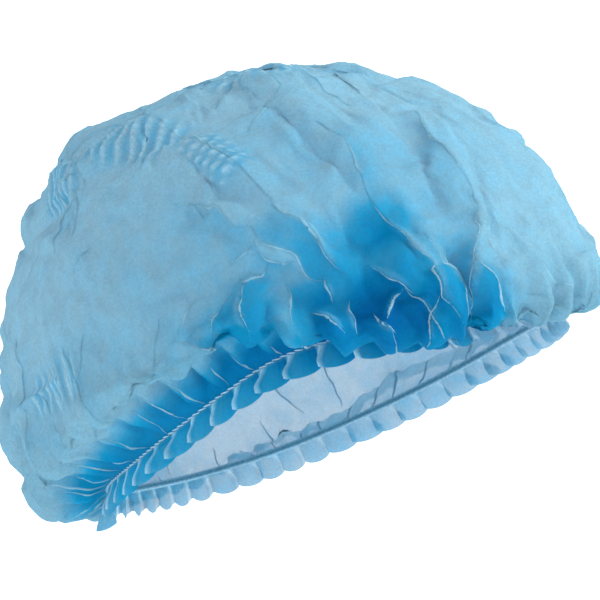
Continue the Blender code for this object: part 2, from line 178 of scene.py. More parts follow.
# Sharp creases. Each runs through its places, an angle and a level each. Paleness is how high the
# fold stands and how strong the painted highlight along it and on its folded-over side is. Shade is
# how deep the colour is on its other side, where the cloth lies double under it and painted shade
# falls: above 0 on the right of someone who follows the crease over the outside.
CREASES = (
    # places, paleness, shade
    (((68.5, 0.433), (65, 0.406), (63, 0.358), (60.5, 0.346)), 0.90, -0.35),
    (((60.5, 0.346), (60, 0.325), (58, 0.308), (56, 0.290), (55.5, 0.256), (53, 0.242)), 1.00, 0.35),
    (((55.5, 0.383), (55.5, 0.352), (53, 0.312), (52, 0.275), (50.5, 0.237)), 1.00, -0.30),
    (((61, 0.331), (61, 0.304), (58.5, 0.290), (56.5, 0.285)), 0.80, -0.45),
    (((61, 0.331), (64, 0.323), (67, 0.320)), 0.70, -0.30),
    (((66, 0.287), (67.5, 0.263), (68.5, 0.229), (70, 0.165)), 1.00, 0.20),
    (((68.5, 0.285), (71.5, 0.269), (73.5, 0.248), (75.5, 0.222)), 0.80, 0.15),
    (((74, 0.296), (77, 0.283), (79, 0.263), (81.5, 0.240)), 0.55, 0.10),
    (((66.8, 0.300), (66, 0.286), (63.5, 0.287), (61.0, 0.298)), 0.80, -0.20),
    (((59.5, 0.262), (60.5, 0.227), (62, 0.196), (62.5, 0.160)), 0.60, 0.45),
    (((53.4, 0.250), (53.5, 0.228), (53.8, 0.210)), 0.80, -0.20),
    (((58, 0.200), (56.8, 0.180), (56.2, 0.160), (55, 0.140)), 1.00, -0.50),
    (((51, 0.205), (52, 0.181), (52.6, 0.160), (53, 0.133)), 0.95, 0.35),
    (((48.5, 0.170), (48.0, 0.150), (46.5, 0.120)), 0.90, 0.30),
    (((42, 0.188), (44.5, 0.172), (47, 0.150)), 0.75, 0.45),
    (((41.8, 0.190), (39.5, 0.150), (38, 0.100)), 0.65, -0.40),
    (((37, 0.168), (40, 0.130), (42, 0.080)), 0.75, -0.35),
    (((39, 0.481), (37.5, 0.423), (39.5, 0.350), (40, 0.327)), 0.45, 0.25),
    (((40, 0.327), (39, 0.283), (37.3, 0.240), (36, 0.206), (36.2, 0.165), (35, 0.110)), 1.00, -0.55),
    (((45.5, 0.245), (43.5, 0.215), (41.8, 0.195), (40, 0.179)), 0.90, -0.40),
    (((32, 0.240), (33.5, 0.200), (31, 0.150), (30, 0.100)), 0.90, 0.25),
    (((34.5, 0.250), (34.8, 0.215), (33.0, 0.170), (33.0, 0.120)), 0.80, -0.25),
    (((14.5, 0.479), (20, 0.402), (20.5, 0.356), (21.5, 0.300)), 0.70, -0.20),
    (((21.5, 0.300), (24.5, 0.244), (28.5, 0.185), (31, 0.130)), 1.00, -0.30),
    (((24.0, 0.262), (22.5, 0.231), (21.0, 0.200)), 0.80, 0.10),
    (((28, 0.200), (26.5, 0.160), (23, 0.110)), 0.70, -0.45),
    (((17, 0.140), (10, 0.115), (2, 0.095)), 0.55, 0.10),
    (((9, 0.215), (12, 0.195), (14.5, 0.179)), 0.50, 0.10),
    (((13.5, 0.182), (9, 0.150), (-1, 0.110)), 0.60, 0.10),
    (((87.5, 0.744), (72, 0.675), (65, 0.600), (59.5, 0.500), (57, 0.440), (55.5, 0.383)), 0.70, 0.10),
    (((37.5, 0.710), (37, 0.650), (37.5, 0.598)), 0.65, 0.15),
    (((37, 0.600), (44, 0.560), (52, 0.521)), 0.55, 0.10),
    (((40, 0.698), (47, 0.665), (54, 0.623)), 0.50, -0.10),
    (((64.0, 0.470), (63.5, 0.445), (63, 0.419)), 0.60, 0.15),
    (((72, 0.450), (68.5, 0.433), (67.5, 0.394)), 0.55, -0.15),
    (((111.5, 0.635), (103.5, 0.637), (94.5, 0.621)), 0.45, 0.15),
    (((103, 0.630), (102.5, 0.560), (104, 0.490)), 0.40, 0.15),
    (((95, 0.620), (95.5, 0.560), (97, 0.500)), 0.35, -0.15),
    (((91.5, 0.450), (94, 0.442), (97, 0.425)), 0.45, 0.10),
    (((82.0, 0.290), (84, 0.262), (86.5, 0.244)), 0.50, 0.15),
    (((86.5, 0.244), (88, 0.180), (88.5, 0.090)), 0.45, 0.20),
    (((81.0, 0.246), (78, 0.215), (77, 0.150), (78.5, 0.060)), 0.70, 0.35),
    (((104, 0.330), (102, 0.240), (102, 0.120)), 0.30, 0.20),
    (((118, 0.300), (116, 0.220), (116, 0.110)), 0.30, -0.20),
    (((98, 0.330), (101, 0.280), (106, 0.250)), 0.25, 0.15),
    (((128, 0.420), (124, 0.300), (126, 0.180)), 0.30, 0.20),
    (((142, 0.480), (138, 0.330), (141, 0.180)), 0.30, -0.20),
    (((62, 0.850), (40, 0.760), (28, 0.640), (26, 0.520)), 0.35, -0.15),
    (((20, 0.800), (12, 0.660), (10, 0.480)), 0.30, 0.15),
    (((160, 0.600), (157, 0.400), (158, 0.220)), 0.50, 0.30),
    (((184, 0.560), (188, 0.360), (192, 0.200)), 0.50, -0.30),
    (((176, 0.740), (196, 0.670), (214, 0.580)), 0.50, 0.25),
    (((208, 0.500), (204, 0.340), (203, 0.180)), 0.55, 0.30),
    (((226, 0.560), (231, 0.380), (238, 0.220)), 0.55, -0.30),
    (((250, 0.600), (247, 0.400), (246, 0.200)), 0.50, 0.25),
    (((268, 0.480), (272, 0.300), (274, 0.160)), 0.60, 0.30),
    (((286, 0.600), (282, 0.440), (280, 0.260)), 0.50, -0.25),
    (((300, 0.500), (304, 0.320), (306, 0.160)), 0.60, 0.30),
    (((322, 0.600), (318, 0.420), (316, 0.240)), 0.50, 0.25),
    (((344, 0.560), (347, 0.380), (348, 0.220)), 0.50, -0.25),
    (((250, 0.840), (282, 0.790), (312, 0.760)), 0.50, 0.20),
    (((340, 0.800), (2, 0.710), (20, 0.620)), 0.45, 0.20),
    (((200, 0.860), (174, 0.830), (150, 0.800)), 0.45, 0.20),
)
# Rows of short ribs side by side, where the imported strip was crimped.
CRIMP_ROWS = (
    # from angle, from level, to angle, to level, rib length, spacing, height
    (92, 0.70, 64, 0.57, 0.016, 0.0062, 0.0016),
    (64, 0.57, 57, 0.44, 0.012, 0.0058, 0.0010),
    (46, 0.74, 34, 0.66, 0.014, 0.0060, 0.0014),
    (113, 0.67, 94, 0.61, 0.017, 0.0045, 0.0008),
    (40, 0.80, 20, 0.66, 0.013, 0.0050, 0.0007),
    (122, 0.30, 100, 0.28, 0.014, 0.0052, 0.0006),
    (150, 0.66, 176, 0.56, 0.016, 0.0050, 0.0008),
    (210, 0.76, 250, 0.62, 0.016, 0.0050, 0.0009),
    (300, 0.60, 330, 0.44, 0.016, 0.0050, 0.0009),
    (268, 0.72, 292, 0.66, 0.014, 0.0048, 0.0008),
)
# Where the colour is deeper: partly where the cloth lies bunched in several layers, partly painted
# shade in the hollows, under overhanging folds and where the cloth faces away from the key light.
BUNCH_AND_SHADE_SPOTS = (
    # angle, level, reach in metres, strength
    (47, 0.160, 0.024, 1.00),
    (54, 0.165, 0.018, 0.85),
    (41, 0.150, 0.020, 0.90),
    (55, 0.215, 0.014, 0.66),
    (48, 0.245, 0.022, 0.46),
    (41, 0.275, 0.016, 0.62),
    (34, 0.200, 0.016, 0.34),
    (33, 0.300, 0.022, 0.14),
    (28, 0.130, 0.014, 0.60),
    (58, 0.320, 0.012, 0.20),
    (70, 0.110, 0.018, 0.55),
    (22, 0.350, 0.030, 0.08),
    (35, 0.123, 0.016, 0.80),
    (29, 0.105, 0.012, 0.50),
    # painted shade on the middle of the crown, which faces away from the key light
    (76, 0.320, 0.045, 0.10),
    (49, 0.430, 0.032, 0.10),
    (36, 0.383, 0.026, 0.14),
    (28, 0.323, 0.022, 0.12),
    (200, 0.12, 0.026, 0.15),
    (262, 0.14, 0.028, 0.12),
    (306, 0.13, 0.026, 0.12),
)
BAND_SHADE_ROUND = (
    # angle, how deep the colour of the gathers beside the elastic is: partly their bunched layers,
    # partly painted shade under the overhanging crown at the front
    (0, 0.12), (20, 0.20), (30, 0.60), (40, 0.90), (60, 0.86), (80, 0.72), (100, 0.62),
    (125, 0.60), (150, 0.42), (175, 0.28), (220, 0.18), (270, 0.14), (330, 0.12), (360, 0.12),
)

# Turns points from the elastic's plane to the cap as it is worn.
to_world = np.array(Matrix.Rotation(-OPENING_TILT, 3, "X"))


def smooth(rows, at, column):
    """Values of a column at places in a table, on a smooth curve through its rows."""
    rows = np.array(rows, float)
    at = np.asarray(at, float)
    x, y = rows[:, 0], rows[:, column]
    i = np.clip(np.searchsorted(x, at, side="right") - 1, 0, len(x) - 2)
    before = np.maximum(i - 1, 0)
    after = np.minimum(i + 2, len(x) - 1)
    span = x[i + 1] - x[i]
    t = (at - x[i]) / span
    leaving = (y[i + 1] - y[before]) / (x[i + 1] - x[before]) * span
    arriving = (y[after] - y[i]) / (x[after] - x[i]) * span
    step = (3 * t * t - 2 * t**3) * (y[i + 1] - y[i])
    return y[i] + step + (t**3 - 2 * t * t + t) * leaving + (t**3 - t * t) * arriving


def round_share(rows, angle):
    """Shares from a table of angles, which goes on smoothly past its two ends."""
    before = (rows[-2][0] - 360, rows[-2][1])
    after = (rows[1][0] + 360, rows[1][1])
    return smooth((before, *rows, after), np.degrees(angle) % 360, 1)


def ease(share):
    """A share of 0 to 1 that leaves 0 and comes to 1 gently."""
    share = np.clip(share, 0, 1)
    return share * share * (3 - 2 * share)


def around(half_length, half_width, angle, height):
    """Points on an oval, level with the elastic's plane."""
    x, y, z = np.broadcast_arrays(
        -half_width * np.sin(angle), -half_length * np.cos(angle), height
    )
    return np.stack([x, y, z], -1)


def seam_height(angle):
    """How high the elastic lies over its plane."""
    return ELASTIC_ARCH * round_share(ELASTIC_ROUND, angle)


def crown_middle(angle, level):
    """The crown's cloth before its folds and gathers, in the elastic's plane."""
    flare, close, rise, hang, arch = (smooth(CROWN_PATH, level, column) for column in range(1, 6))
    half_length = ELASTIC_HALF_LENGTH + flare * (CROWN_HALF_LENGTH - ELASTIC_HALF_LENGTH)
    half_width = ELASTIC_HALF_WIDTH + flare * (CROWN_HALF_WIDTH - ELASTIC_HALF_WIDTH)
    drop = POUCH_DROP * round_share(POUCH_ROUND, angle)
    height = rise * CROWN_HEIGHT - hang * drop + arch * seam_height(angle)
    points = around(close * half_length, close * half_width, angle, height)
    points[..., 1] += rise * CROWN_LEAN
    return points


def outward(points):
    """The way out of a sheet that is a grid of points, closed round its first axis."""
    along = np.roll(points, -1, 0) - np.roll(points, 1, 0)
    rising = np.gradient(points, axis=1)
    way = np.cross(rising, along)
    return way / np.maximum(np.linalg.norm(way, axis=-1, keepdims=True), 1e-12)


def line_relief(points, line, out=None):
    """How far points lie from a run of points, how far along it the nearest place is, and, given
    the way out of the cloth, on which side of the run they lie."""
    nearest = np.full(points.shape[:-1], np.inf)
    share = np.zeros(points.shape[:-1])
    side = np.zeros(points.shape[:-1])
    for i in range(len(line) - 1):
        part = line[i + 1] - line[i]
        t = np.clip((points - line[i]) @ part / (part @ part), 0, 1)
        away = points - line[i] - t[..., None] * part
        distance = np.linalg.norm(away, axis=-1)
        closer = distance < nearest
        nearest = np.where(closer, distance, nearest)
        share = np.where(closer, (i + t) / (len(line) - 1), share)
        if out is not None:
            turn = np.einsum("...k,...k", np.cross(part, away), out) / np.linalg.norm(part)
            side = np.where(closer, turn, side)
    return nearest, share, side


def places_between(from_angle, from_level, to_angle, to_level, parts=8):
    """Angles and levels in even steps from one place to another."""
    s = np.linspace(0, 1, parts + 1)
    angles = from_angle + s * (to_angle - from_angle)
    return np.radians(angles), from_level + s * (to_level - from_level)


def crease_places(places, step):
    """Angles and levels along a smooth run through places, a step of so many metres apart."""
    angles, levels = np.array(places, float).T
    corners = crown_middle(np.radians(angles), levels)
    lengths = np.append(0, np.cumsum(np.linalg.norm(np.diff(corners, axis=0), axis=1)))
    rows = list(zip(lengths / lengths[-1], angles, levels))
    s = np.linspace(0, 1, max(4, round(lengths[-1] / step)) + 1)
    return np.radians(smooth(rows, s, 1)), smooth(rows, s, 2)


def crown_grid(count, rows):
    """The angle and the level of each point of the crown's sheet."""
    angle = 2 * np.pi * np.arange(count) / count
    level = TOP_LEVEL * (np.arange(rows) / (rows - 1)) ** ROW_CROWDING
    return np.meshgrid(angle, level, indexing="ij")


def from_elastic(points):
    """How far each point of a grid lies from the elastic, along the cloth."""
    steps = np.linalg.norm(np.diff(points, axis=1), axis=-1)
    return np.concatenate([np.zeros((len(points), 1)), np.cumsum(steps, axis=1)], axis=1)


def gather_wander(angle):
    """How far the gathers' wave runs ahead, which makes some wider and some narrower."""
    return 0.55 * np.sin(3 * angle + 0.7) + 0.45 * np.sin(7 * angle + 2.1) + 0.3 * np.sin(11 * angle)


def gather_wave(angle):
    """The in and out of the gathers, which are also deeper here and shallower there."""
    strength = 1 + 0.22 * np.sin(5 * angle + 1.3) + 0.18 * np.sin(13 * angle + 0.4)
    phase = GATHERS * angle + gather_wander(angle)
    return strength * (np.cos(phase) + 0.25 * np.sin(2 * phase))


def soft_shape(angle, level):
    """The cloth with its long soft folds and its gathers."""
    middle = crown_middle(angle, level)
    out = outward(middle)
    distance = from_elastic(middle)
    growing = ease(distance / GATHER_REACH)
    fading = 1 - ease((distance - GATHER_REACH) / (GATHER_FADE - GATHER_REACH))
    shallower = 1 - FAR_SIDE_EVENNESS * np.clip(-np.sin(angle), 0, 1)
    lift = GATHER_DEPTH * growing * fading * gather_wave(angle) * shallower
    for *place, height, half_width in SOFT_FOLDS:
        away, share, _ = line_relief(middle, crown_middle(*places_between(*place)))
        side = np.clip(1 - (away / (half_width * FOLD_WIDTH)) ** 2, 0, None) ** 2
        ends = np.sqrt(np.sin(np.pi * np.clip(share, 0.02, 0.98)))
        lift += growing * height * FOLD_HEIGHT * side * ends
    return middle + lift[..., None] * out


def smooth_piece(name, verts, faces):
    """An object with these points and faces, shaded smooth."""
    mesh = bpy.data.meshes.new(name)
    mesh.from_pydata(np.asarray(verts, float).reshape(-1, 3).tolist(), [], faces)
    mesh.shade_smooth()
    made = bpy.data.objects.new(name, mesh)
    bpy.context.collection.objects.link(made)
    return made


def set_shares(piece, **shares):
    """Gives each point of a piece the shares that its material reads by their names."""
    for name, values in shares.items():
        layer = piece.data.attributes.new(name, "FLOAT", "POINT")
        layer.data.foreach_set("value", np.clip(values, 0, 1).ravel())


def cloth_piece(name, points, top=None):
    """A piece from a grid of points closed round its first axis, with the cloth's own lengths as
    UVs, and with a fan of triangles up to the top, if there is one."""
    count, rows = points.shape[:2]
    c, r = np.meshgrid(np.arange(count), np.arange(rows - 1), indexing="ij")
    on = (c + 1) % count
    quads = np.stack([c * rows + r, c * rows + r + 1, on * rows + r + 1, on * rows + r], -1)
    faces = quads.reshape(-1, 4).tolist()
    verts = points.reshape(-1, 3).tolist()
    if top is not None:
        rim = [i * rows + rows - 1 for i in range(count)]
        faces += [(rim[i], len(verts), rim[(i + 1) % count]) for i in range(count)]
        verts.append(tuple(top))
    made = smooth_piece(name, verts, faces)
    mesh = made.data
    round_length = np.linalg.norm(points[0, 0] - points[1, 0]) * count
    across = np.append(np.repeat(np.arange(count) * round_length / count, rows), 0)
    upward = np.append(from_elastic(points).ravel(), from_elastic(points).max())
    corner_vertex = np.empty(len(mesh.loops), int)
    mesh.loops.foreach_get("vertex_index", corner_vertex)
    uv = np.stack([across[corner_vertex], upward[corner_vertex]], -1)
    last_column = np.repeat(quads.reshape(-1, 4)[:, 2] // rows == 0, 4)
    wraps = np.zeros(len(corner_vertex), bool)
    wraps[: last_column.size] = last_column & (corner_vertex[: last_column.size] // rows == 0)
    uv[wraps, 0] = round_length
    mesh.uv_layers.new(name="cloth").data.foreach_set("uv", uv.ravel())
    return made


def doubled(grid, axis, loop):
    """A grid with a value added between each two, on a smooth curve through its neighbours."""
    grid = np.moveaxis(grid, axis, 0)
    if loop:
        before, after, later = np.roll(grid, 1, 0), np.roll(grid, -1, 0), np.roll(grid, -2, 0)
        between = (9 * (grid + after) - before - later) / 16
        fine = np.stack([grid, between], 1).reshape(-1, *grid.shape[1:])
    else:
        between = (grid[:-1] + grid[1:]) / 2
        between[1:-1] = (9 * (grid[1:-2] + grid[2:-1]) - grid[:-3] - grid[3:]) / 16
        fine = np.empty((2 * len(grid) - 1, *grid.shape[1:]))
        fine[0::2], fine[1::2] = grid, between
    return np.moveaxis(fine, 0, axis)


WRINKLE_GROWTH = 0.05  # the cloth is a little larger than the form it fills, so it buckles
WRINKLE_FRAMES = 22
HELD_FROM = 0.90  # the cloth is held at the top from this level up,
HELD_OVER = 0.08  # and wholly this much further up
WRINKLE_LIMIT = 0.0018  # the furthest that a point may move
WRINKLE_SMOOTHING = 30  # rounds; what is still there after them is drift, not buckles


def wrinkled(angle, level):
    """How a cloth simulation moves each point of the sheet as its spare cloth buckles. The cap's
    own form stays, so only the small buckles are kept, not where the whole sheet drifts."""
    start = soft_shape(angle, level)
    trial = cloth_piece("trial", start, top=crown_middle(0.0, 1.0))
    held = trial.vertex_groups.new(name="held")
    distance = from_elastic(start).ravel()
    at_seam = 1 - ease(distance / GATHER_REACH)
    at_top = ease((level.ravel() - HELD_FROM) / HELD_OVER)
    for i, weight in enumerate(np.maximum(at_seam, at_top)):
        if weight > 0:
            held.add([i], float(weight), "REPLACE")
    held.add([len(trial.data.vertices) - 1], 1.0, "REPLACE")
    cloth = trial.modifiers.new("cloth", "CLOTH")
    cloth.settings.quality = 5
    cloth.settings.mass = 0.05
    cloth.settings.tension_stiffness = 12
    cloth.settings.compression_stiffness = 12
    cloth.settings.shear_stiffness = 4
    cloth.settings.bending_stiffness = 0.02
    cloth.settings.air_damping = 4
    cloth.settings.vertex_group_mass = "held"
    cloth.settings.pin_stiffness = 2
    cloth.settings.shrink_min = -WRINKLE_GROWTH
    cloth.settings.shrink_max = -WRINKLE_GROWTH
    cloth.settings.effector_weights.gravity = 0.05
    cloth.collision_settings.use_collision = False
    cloth.collision_settings.use_self_collision = False
    cloth.point_cache.frame_end = WRINKLE_FRAMES
    for frame_number in range(1, WRINKLE_FRAMES + 1):
        bpy.context.scene.frame_set(frame_number)
    settled = trial.evaluated_get(bpy.context.evaluated_depsgraph_get()).to_mesh()
    points = np.empty(len(settled.vertices) * 3)
    settled.vertices.foreach_get("co", points)
    moved = points.reshape(-1, 3)[:-1].reshape(start.shape) - start
    bpy.data.objects.remove(trial, do_unlink=True)
    bpy.context.scene.frame_set(1)
    drift = moved
    for _ in range(WRINKLE_SMOOTHING):
        longer = np.concatenate([drift[:, :1], drift, drift[:, -1:]], axis=1)
        beside = np.roll(drift, 1, 0) + np.roll(drift, -1, 0) + longer[:, :-2] + longer[:, 2:]
        drift = (2 * drift + beside) / 6
    buckle = moved - drift
    far = np.linalg.norm(buckle, axis=-1, keepdims=True)
    return buckle * WRINKLE_LIMIT / np.maximum(far, 1e-9) * np.tanh(far / WRINKLE_LIMIT)


def ridged(points, size, seed):
    """Noise with sharp crests, from 0 to about 1, for the small creases of crumpled cloth."""
    shifted = points.reshape(-1, 3) / size + seed
    values = np.array([noise.noise(Vector(p)) for p in shifted])
    return (1 - np.abs(values)).reshape(points.shape[:-1]) ** 4


BAND_START = 0.006  # the colour beside the elastic, from bunched gathers and painted shade, is deepest up to here and fades over this length
BAND_FADE = 0.022  # and fades over this length
FREE_OF_SEAM = 0.012  # the creases have their full height this far from the elastic
CREASE_STEP = 0.004
RIDGE_HEIGHT = 0.0008  # a crease stands up in a ridge,
RIDGE_REACH = 0.0015
LEDGE_HEIGHT = 0.0016  # and the cloth lies higher on the side that is folded over,
LEDGE_REACH = 0.0060
LEDGE_EDGE = 0.0016  # down to the other side within this width
PALE_REACH = 0.0025  # the folded side gets a painted highlight this far from the crease, and lies in one layer in the light, so its colour is less deep, this far
CLEAR_REACH = 0.0040  # and is one layer, so paler, this far
RIB_SLANT = 22  # a row's ribs lean, by this many ribs for each metre to the side
CRUMPLES = (
    # size, height, seed
    (0.040, 0.0024, 3.1),
    (0.019, 0.0010, 11.7),
    (0.009, 0.0005, 5.3),
)
CRUMPLE_EDGE = 0.82  # the share of a crumple's height from which its crest gets a painted highlight

coarse_angle, coarse_level = crown_grid(GATHERS * CLOTH_STEPS, CLOTH_ROWS)
wrinkles = wrinkled(coarse_angle, coarse_level)
wrinkles = doubled(doubled(wrinkles, 0, True), 1, False)
fine_angle, fine_level = crown_grid(2 * GATHERS * CLOTH_STEPS, 2 * CLOTH_ROWS - 1)
base = crown_middle(fine_angle, fine_level)
base_out = outward(base)
sheet = soft_shape(fine_angle, fine_level) + wrinkles
sheet_out = outward(sheet)
distance = from_elastic(base)
# Painted shade and bunched colour on the gathers beside the elastic, deepest at the front under the
# overhanging crown.
band = 1 - ease((distance - BAND_START) / BAND_FADE)
bunch = round_share(BAND_SHADE_ROUND, fine_angle) * band
for angle, level, reach, strength in BUNCH_AND_SHADE_SPOTS:
    away = np.linalg.norm(base - crown_middle(math.radians(angle), level), axis=-1)
    bunch = np.maximum(bunch, strength * np.exp(-((away / reach) ** 2)))
crease = np.zeros(base.shape[:2])
lift = np.zeros(base.shape[:2])
for places, paleness, shade in CREASES:
    run = crown_middle(*crease_places(places, CREASE_STEP))
    away, share, side = line_relief(base, run, base_out)
    ends = np.sin(np.pi * share) ** 0.6
    over = np.clip(0.5 - np.sign(shade) * side / LEDGE_EDGE, 0, 1)
    ridge = RIDGE_HEIGHT * np.exp(-away / RIDGE_REACH)
    ledge = LEDGE_HEIGHT * over * np.exp(-away / LEDGE_REACH)
    lift += paleness * ends * (ridge + ledge)
    # Beside the fold the colour deepens, for the doubled cloth and the painted shade under it; on the
    # folded-over side the deep colour clears and a painted highlight runs along the crease.
    shade_reach = 0.005 + 0.014 * abs(shade)
    double_layer_and_shade = 0.45 * abs(shade) * ends * (1 - over) * np.exp(-away / shade_reach)
    bunch += double_layer_and_shade * (1 - bunch)
    bunch *= 1 - 0.5 * paleness * ends * over * np.exp(-away / CLEAR_REACH)
    crease = np.maximum(crease, 0.45 * paleness * ends * over * np.exp(-away / PALE_REACH))
for from_angle, from_level, to_angle, to_level, rib, spacing, height in CRIMP_ROWS:
    row = crown_middle(*places_between(from_angle, from_level, to_angle, to_level, parts=10))
    away, share, side = line_relief(base, row, base_out)
    row_length = np.linalg.norm(np.diff(row, axis=0), axis=1).sum()
    rib_place = share * round(row_length / spacing) + RIB_SLANT * side
    ribs = 0.5 + 0.5 * np.cos(2 * np.pi * rib_place)
    within = ease((1 - away / rib) * 1.5) * ease(share * 8) * ease((1 - share) * 8)
    lift += height * (ribs**2 - 0.35) * within
    # Painted highlight on the ribs' crests, and painted shade in the hollows between them.
    crease = np.maximum(crease, 0.6 * ribs**3 * within)
    bunch += 0.22 * (1 - ribs) * within * (1 - bunch)
crumple = np.zeros(base.shape[:2])
for size, height, seed in CRUMPLES:
    crest = ridged(base, size, seed)
    crumple += height * (crest - 0.5)
    # The crumples' crests get a painted highlight.
    edge = np.clip(crest - CRUMPLE_EDGE, 0, None) / (1 - CRUMPLE_EDGE)
    crease = np.maximum(crease, 0.16 * edge)
lift = ease(distance / FREE_OF_SEAM) * (lift + crumple)
sheet = sheet + lift[..., None] * sheet_out
sheet_out = outward(sheet)
crown = cloth_piece("crown_cloth", sheet @ to_world.T, top=crown_middle(0.0, 1.0) @ to_world.T)
set_shares(crown, crease=np.append(crease, 0.0), bunch=np.append(bunch, 0.0))


def linear(hex_colour):
    """A colour for a shader from its sRGB hex value."""
    shares = [int(hex_colour[i:i + 2], 16) / 255 for i in (1, 3, 5)]
    return tuple(s / 12.92 if s <= 0.04045 else ((s + 0.055) / 1.055) ** 2.4 for s in shares) + (1.0,)


def add(tree, kind, inputs=(), **settings):
    """A node with its settings and its inputs, each a value or another node's output."""
    made = tree.nodes.new(kind)
    for name, value in settings.items():
        setattr(made, name, value)
    for socket, value in dict(inputs).items():
        if isinstance(value, bpy.types.NodeSocket):
            tree.links.new(value, made.inputs[socket])
        else:
            made.inputs[socket].default_value = value
    return made


FIBRE_SIZE = 0.0011  # the matted fibres are 0.02 mm thick; their clumps are what shows
CLOUD_SIZE = 0.0100  # thicker and thinner places of the web
BOND_PITCH = 0.0014  # the embossed bond points are 0.7 mm apart; drawn twice as coarse


def spunbond(name, thin, double_and_shaded, bunched, see_through, through_light):
    """Spunbond polypropylene, a web of fine fibres bonded in points. The eye gets a matt, cloudy
    pale blue that lets light through where it is one layer, and deepens where it is bunched, with
    painted shade in its hollows and a painted highlight along its creases."""
    material = bpy.data.materials.new(name)
    material.use_nodes = True
    tree = material.node_tree
    tree.nodes.clear()
    place = add(tree, "ShaderNodeTexCoord")
    cloth_place = add(tree, "ShaderNodeUVMap", uv_map="cloth")
    fibres = add(tree, "ShaderNodeTexNoise", {
        "Vector": place.outputs["Object"],
        "Scale": 1 / FIBRE_SIZE,
        "Detail": 4.0,
        "Roughness": 0.65,
        "Distortion": 0.6,
    })
    clouds = add(tree, "ShaderNodeTexNoise", {
        "Vector": place.outputs["Object"],
        "Scale": 1 / CLOUD_SIZE,
        "Detail": 3.0,
        "Roughness": 0.6,
    })
    bonds = add(tree, "ShaderNodeTexVoronoi", {
        "Vector": cloth_place.outputs["UV"],
        "Scale": 1 / BOND_PITCH,
        "Randomness": 0.35,
    }, voronoi_dimensions="2D")
    bunch_share = add(tree, "ShaderNodeAttribute", attribute_name="bunch")
    crease_share = add(tree, "ShaderNodeAttribute", attribute_name="crease")
    layers_and_shade_here = add(tree, "ShaderNodeMath", {
        0: clouds.outputs["Fac"],
        1: 0.30,
        2: bunch_share.outputs["Fac"],
    }, operation="MULTIPLY_ADD")
    layers_and_shade_here = add(tree, "ShaderNodeMath", {
        0: layers_and_shade_here.outputs[0],
        1: 0.15,
    }, operation="SUBTRACT", use_clamp=True)
    # The colour runs from one thin layer through two to bunched cloth; its deeper end also stands for
    # painted shade.
    dye = add(tree, "ShaderNodeValToRGB", {"Fac": layers_and_shade_here.outputs[0]})
    dye.color_ramp.elements[0].color = linear(thin)
    dye.color_ramp.elements[1].color = linear(bunched)
    dye.color_ramp.elements.new(0.36).color = linear(double_and_shaded)
    # Painted highlight along the creases and crests.
    painted_highlight = add(tree, "ShaderNodeMapRange", {
        "Value": crease_share.outputs["Fac"],
        "From Min": 0.15,
        "From Max": 1.0,
        "To Min": 0.0,
        "To Max": 0.90,
    })
    creased = add(tree, "ShaderNodeMix", {
        0: painted_highlight.outputs[0],
        6: dye.outputs["Color"],
        7: linear("#c2ecf8"),
    }, data_type="RGBA")
    web = add(tree, "ShaderNodeMapRange", {
        "Value": fibres.outputs["Fac"],
        "From Min": 0.35,
        "From Max": 0.65,
        "To Min": 0.88,
        "To Max": 1.06,
    })
    cloudy = add(tree, "ShaderNodeMapRange", {
        "Value": clouds.outputs["Fac"],
        "From Min": 0.35,
        "From Max": 0.65,
        "To Min": 0.89,
        "To Max": 1.06,
    })
    density = add(tree, "ShaderNodeMath", {
        0: web.outputs[0],
        1: cloudy.outputs[0],
    }, operation="MULTIPLY")
    shade = add(tree, "ShaderNodeMix", {
        0: 1.0,
        6: creased.outputs[2],
        7: density.outputs[0],
    }, data_type="RGBA", blend_type="MULTIPLY")
    emboss = add(tree, "ShaderNodeMath", {
        0: bonds.outputs["Distance"],
        1: 0.5,
        2: fibres.outputs["Fac"],
    }, operation="MULTIPLY_ADD")
    bump = add(tree, "ShaderNodeBump", {
        "Strength": 0.22,
        "Distance": 0.0003,
        "Height": emboss.outputs[0],
    })
    surface = add(tree, "ShaderNodeBsdfPrincipled", {
        "Base Color": shade.outputs[2],
        "Roughness": 0.68,
        "IOR": 1.49,
        "Specular IOR Level": 0.03,
        "Normal": bump.outputs["Normal"],
    })
    greyed = add(tree, "ShaderNodeMath", {
        0: bunch_share.outputs["Fac"],
        1: -1.4,
        2: 0.60,
    }, operation="MULTIPLY_ADD", use_clamp=True)
    passing = add(tree, "ShaderNodeMix", {
        0: greyed.outputs[0],
        6: shade.outputs[2],
        7: linear("#aeb3c6"),
    }, data_type="RGBA")
    through = add(tree, "ShaderNodeBsdfTranslucent", {
        "Color": passing.outputs[2],
        "Normal": bump.outputs["Normal"],
    })
    cloth = add(tree, "ShaderNodeMixShader", {
        0: through_light,
        1: surface.outputs[0],
        2: through.outputs[0],
    })
    gaps = add(tree, "ShaderNodeMapRange", {
        "Value": density.outputs[0],
        "From Min": 0.75,
        "From Max": 1.12,
        "To Min": see_through * 1.8,
        "To Max": see_through * 0.35,
    })
    # Less light comes through where the cloth is bunched and where painted shade is given.
    layers_and_shade = add(tree, "ShaderNodeMath", {
        0: bunch_share.outputs["Fac"],
        1: -1.5,
        2: 1.0,
    }, operation="MULTIPLY_ADD", use_clamp=True)
    open_share = add(tree, "ShaderNodeMath", {
        0: gaps.outputs[0],
        1: layers_and_shade.outputs[0],
    }, operation="MULTIPLY")
    clear = add(tree, "ShaderNodeBsdfTransparent")
    web_and_gaps = add(tree, "ShaderNodeMixShader", {
        0: open_share.outputs[0],
        1: cloth.outputs[0],
        2: clear.outputs[0],
    })
    add(tree, "ShaderNodeOutputMaterial", {"Surface": web_and_gaps.outputs[0]})
    return material


crown_spunbond = spunbond("spunbond_crown", "#7fb5c7", "#0c96c0", "#01619e", 0.12, 0.36)
crown.data.materials.append(crown_spunbond)
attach(crown, "root")
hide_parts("crown")


